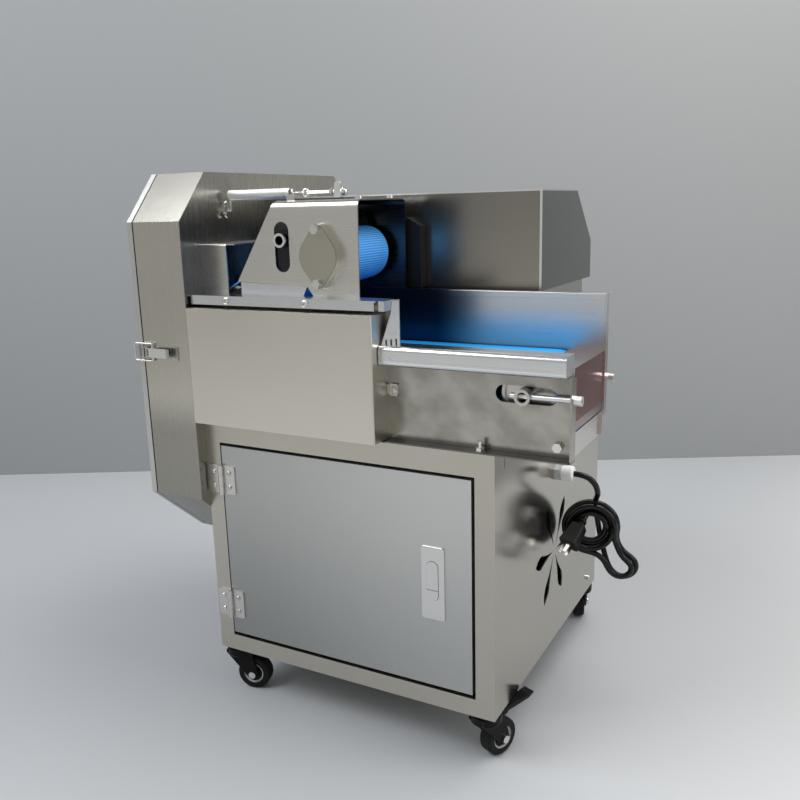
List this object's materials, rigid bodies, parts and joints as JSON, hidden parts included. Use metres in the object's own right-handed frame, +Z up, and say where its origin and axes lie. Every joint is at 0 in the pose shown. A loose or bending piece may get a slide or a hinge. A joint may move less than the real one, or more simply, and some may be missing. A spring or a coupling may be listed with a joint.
{
  "type": "vegetable cutting machine",
  "caption": "Wheeled floor-standing vegetable cutter: blue infeed belt with press-down belt, knife hood with hinged cover, control box, cabinet with latched door and knotted cord.",
  "frame": {"origin": "on the floor, under the middle of the machine's footprint, cord left out", "axes": "+X along the conveyor towards its infeed end, +Y from the door side to the back, +Z up"},
  "size_m": [0.7445, 0.5858, 0.872],
  "materials": {
    "stainless": "warm grey, brushed",
    "stainless_cool": "cool grey, satin",
    "stainless_polished": "polished",
    "machined": "turned",
    "zinc": "bright zinc plated",
    "blade_steel": "ground",
    "motor_paint": "semi-gloss",
    "motor_body": "cast",
    "belt_smooth": "smooth, slight sheen",
    "belt_ribbed": "ribbed weave",
    "drive_rubber": "matte",
    "gasket": "matte",
    "caster_black": "moulded",
    "black_sheet": "satin",
    "gland_grey": "moulded",
    "cord_black": "semi-matte",
    "plug_black": "moulded",
    "bearing_grey": "painted",
    "knob_black": "moulded",
    "green": "moulded",
    "red": "moulded"
  },
  "bodies": {
    "frame": {"cabinet_shell": "stainless", "frame_hinge_leaves": "machined", "conveyor_front_plate": "stainless", "conveyor_rear_plate": "stainless", "trough_lip": "stainless_cool", "trough_end_plate": "stainless_polished", "feed_belt": "belt_smooth", "takeup_screws": "zinc", "bearing_housings": "bearing_grey", "feed_gearmotor": "motor_body", "drive_belts": "drive_rubber", "transmission_cover": "stainless", "side_ledge": "stainless_cool", "frame_screws": "zinc", "press_frame": "stainless_cool", "press_spring": "zinc", "press_guard": "black_sheet", "throat_housing": "stainless_cool", "hood_shell": "stainless", "hood_gasket": "gasket", "main_motor": "motor_paint", "rear_housing": "stainless", "control_box": "stainless", "cable_gland": "gland_grey", "power_cord": "cord_black", "cord_coil": "cord_black", "plug": "plug_black"},
    "door": {"cabinet_door": "stainless_cool", "door_hinge_leaves": "machined", "latch_body": "machined"},
    "latch_handle": {"latch_handle": "stainless_cool"},
    "latch_button": {"latch_button": "stainless_cool"},
    "hood_cover": {"hood_cover": "stainless_cool"},
    "toggle_lever": {"toggle_lever": "zinc"},
    "toggle_bail": {"toggle_bail": "zinc"},
    "knife": {"knife_shaft": "machined", "knife_blades": "blade_steel"},
    "motor_pulley": {"motor_pulley": "machined"},
    "drive_drum": {"drive_drum": "machined"},
    "drive_shaft": {"drive_shaft": "machined"},
    "reverse_gear": {"reverse_gear": "machined"},
    "press_drum": {"press_drum": "machined"},
    "tail_carriage": {"tail_axle": "machined"},
    "tail_roller": {"tail_roller": "machined"},
    "press_arm": {"press_arm": "stainless_cool", "press_belt": "belt_ribbed", "eye_bolt": "zinc"},
    "nose_roller": {"nose_roller": "machined"},
    "brake_pedal": {"brake_pedal": "caster_black"},
    "speed_knob": {"feed_speed_knob": "knob_black"},
    "start_button": {"start_button": "green"},
    "stop_button": {"stop_button": "red"},
    "caster_front_left": {"caster_fork_front_left": "caster_black"},
    "wheel_front_left": {"caster_wheel_front_left": "caster_black"},
    "caster_front_right": {"caster_fork_front_right": "caster_black"},
    "wheel_front_right": {"caster_wheel_front_right": "caster_black"},
    "caster_rear_right": {"caster_fork_rear_right": "caster_black"},
    "wheel_rear_right": {"caster_wheel_rear_right": "caster_black"},
    "caster_rear_left": {"caster_fork_rear_left": "caster_black"},
    "wheel_rear_left": {"caster_wheel_rear_left": "caster_black"}
  },
  "joints": [
    {"name": "door_hinge", "type": "hinge", "parent": "frame", "child": "door", "pos_m": [-0.22285, -0.26538, 0.279], "axis": [0, 0, 1], "range_deg": [-105, 0]},
    {"name": "latch_handle_pivot", "type": "hinge", "parent": "door", "child": "latch_handle", "pos_m": [0.13715, -0.26338, 0.3115], "axis": [1, 0, 0], "range_deg": [-30, 0], "stiffness_Nm_per_rad": 0.2, "springref_deg": 11.46},
    {"name": "latch_button_slide", "type": "slide", "parent": "door", "child": "latch_button", "axis": [0, 1, 0], "range_m": [0, 0.003], "stiffness_N_per_m": 500, "springref_m": -0.002},
    {"name": "hood_cover_hinge", "type": "hinge", "parent": "frame", "child": "hood_cover", "pos_m": [-0.3571, 0.22912, 0.575], "axis": [0, 0, 1], "range_deg": [-120, 0]},
    {"name": "toggle_lever_pivot", "type": "hinge", "parent": "frame", "child": "toggle_lever", "pos_m": [-0.34085, -0.28538, 0.593], "axis": [0, 0, 1], "range_deg": [-150, 0]},
    {"name": "toggle_bail_pivot", "type": "hinge", "parent": "toggle_lever", "child": "toggle_bail", "pos_m": [-0.32685, -0.28588, 0.593], "axis": [0, 0, 1], "range_deg": [0, 150]},
    {"name": "knife_spin", "type": "hinge", "parent": "frame", "child": "knife", "pos_m": [-0.28285, -0.02088, 0.59], "axis": [1, 0, 0], "continuous": true},
    {"name": "motor_spin", "type": "hinge", "parent": "frame", "child": "motor_pulley", "pos_m": [-0.17985, -0.02088, 0.205], "axis": [1, 0, 0], "continuous": true},
    {"name": "drive_drum_spin", "type": "hinge", "parent": "frame", "child": "drive_drum", "pos_m": [-0.19285, -0.17088, 0.565], "axis": [0, 1, 0], "continuous": true},
    {"name": "drive_shaft_spin", "type": "hinge", "parent": "frame", "child": "drive_shaft", "pos_m": [0.03715, -0.17088, 0.565], "axis": [0, 1, 0], "continuous": true},
    {"name": "reverse_gear_spin", "type": "hinge", "parent": "frame", "child": "reverse_gear", "pos_m": [0.03715, -0.08088, 0.625], "axis": [0, 1, 0], "continuous": true},
    {"name": "press_drum_spin", "type": "hinge", "parent": "frame", "child": "press_drum", "pos_m": [-0.02485, -0.16988, 0.744], "axis": [0, 1, 0], "continuous": true},
    {"name": "tail_takeup", "type": "slide", "parent": "frame", "child": "tail_carriage", "axis": [1, 0, 0], "range_m": [-0.015, 0]},
    {"name": "tail_roller_spin", "type": "hinge", "parent": "tail_carriage", "child": "tail_roller", "pos_m": [0.28815, -0.17088, 0.565], "axis": [0, 1, 0], "continuous": true},
    {"name": "press_arm_swing", "type": "hinge", "parent": "frame", "child": "press_arm", "pos_m": [-0.02485, -0.16988, 0.744], "axis": [0, 1, 0], "range_deg": [0, 4], "stiffness_Nm_per_rad": 20, "springref_deg": -5.73, "deforming": ["press_spring"]},
    {"name": "nose_roller_spin", "type": "hinge", "parent": "press_arm", "child": "nose_roller", "pos_m": [-0.19285, -0.16988, 0.677], "axis": [0, 1, 0], "continuous": true},
    {"name": "speed_knob_turn", "type": "hinge", "parent": "frame", "child": "speed_knob", "pos_m": [0.04715, 0.15162, 0.7885], "axis": [0, 0.6988, 0.7153], "range_deg": [-150, 150]},
    {"name": "start_push", "type": "slide", "parent": "frame", "child": "start_button", "axis": [0, -0.6988, -0.7153], "range_m": [0, 0.003], "stiffness_N_per_m": 800, "springref_m": -0.002},
    {"name": "stop_push", "type": "slide", "parent": "frame", "child": "stop_button", "axis": [0, -0.6988, -0.7153], "range_m": [0, 0.003], "stiffness_N_per_m": 800, "springref_m": -0.002},
    {"name": "swivel_front_left", "type": "hinge", "parent": "frame", "child": "caster_front_left", "pos_m": [-0.22985, -0.23788, 0.072], "axis": [0, 0, 1], "continuous": true},
    {"name": "roll_front_left", "type": "hinge", "parent": "caster_front_left", "child": "wheel_front_left", "pos_m": [-0.20667, -0.23167, 0.029], "axis": [-0.2588, 0.9659, 0], "continuous": true},
    {"name": "swivel_front_right", "type": "hinge", "parent": "frame", "child": "caster_front_right", "pos_m": [0.22915, -0.23788, 0.072], "axis": [0, 0, 1], "continuous": true},
    {"name": "roll_front_right", "type": "hinge", "parent": "caster_front_right", "child": "wheel_front_right", "pos_m": [0.23853, -0.21579, 0.029], "axis": [-0.9205, 0.3907, 0], "continuous": true},
    {"name": "swivel_rear_right", "type": "hinge", "parent": "frame", "child": "caster_rear_right", "pos_m": [0.22915, 0.24012, 0.072], "axis": [0, 0, 1], "continuous": true},
    {"name": "roll_rear_right", "type": "hinge", "parent": "caster_rear_right", "child": "wheel_rear_right", "pos_m": [0.22173, 0.26294, 0.029], "axis": [-0.9511, -0.309, 0], "continuous": true},
    {"name": "swivel_rear_left", "type": "hinge", "parent": "frame", "child": "caster_rear_left", "pos_m": [-0.22985, 0.24012, 0.072], "axis": [0, 0, 1], "continuous": true},
    {"name": "roll_rear_left", "type": "hinge", "parent": "caster_rear_left", "child": "wheel_rear_left", "pos_m": [-0.2524, 0.23191, 0.029], "axis": [0.342, -0.9397, 0], "continuous": true},
    {"name": "brake_pedal_pivot", "type": "hinge", "parent": "caster_front_right", "child": "brake_pedal", "pos_m": [0.24068, -0.21073, 0.071], "axis": [-0.9205, 0.3907, 0], "range_deg": [0, 10]}
  ],
  "couplings": [
    {"joint": "toggle_bail_pivot", "follows": "toggle_lever_pivot", "ratio": -1},
    {"joint": "motor_spin", "follows": "knife_spin", "ratio": 1.5},
    {"joint": "drive_shaft_spin", "follows": "drive_drum_spin", "ratio": 1},
    {"joint": "reverse_gear_spin", "follows": "drive_drum_spin", "ratio": -1},
    {"joint": "press_drum_spin", "follows": "drive_drum_spin", "ratio": -1},
    {"joint": "tail_roller_spin", "follows": "drive_drum_spin", "ratio": 1},
    {"joint": "nose_roller_spin", "follows": "drive_drum_spin", "ratio": -1.875}
  ]
}
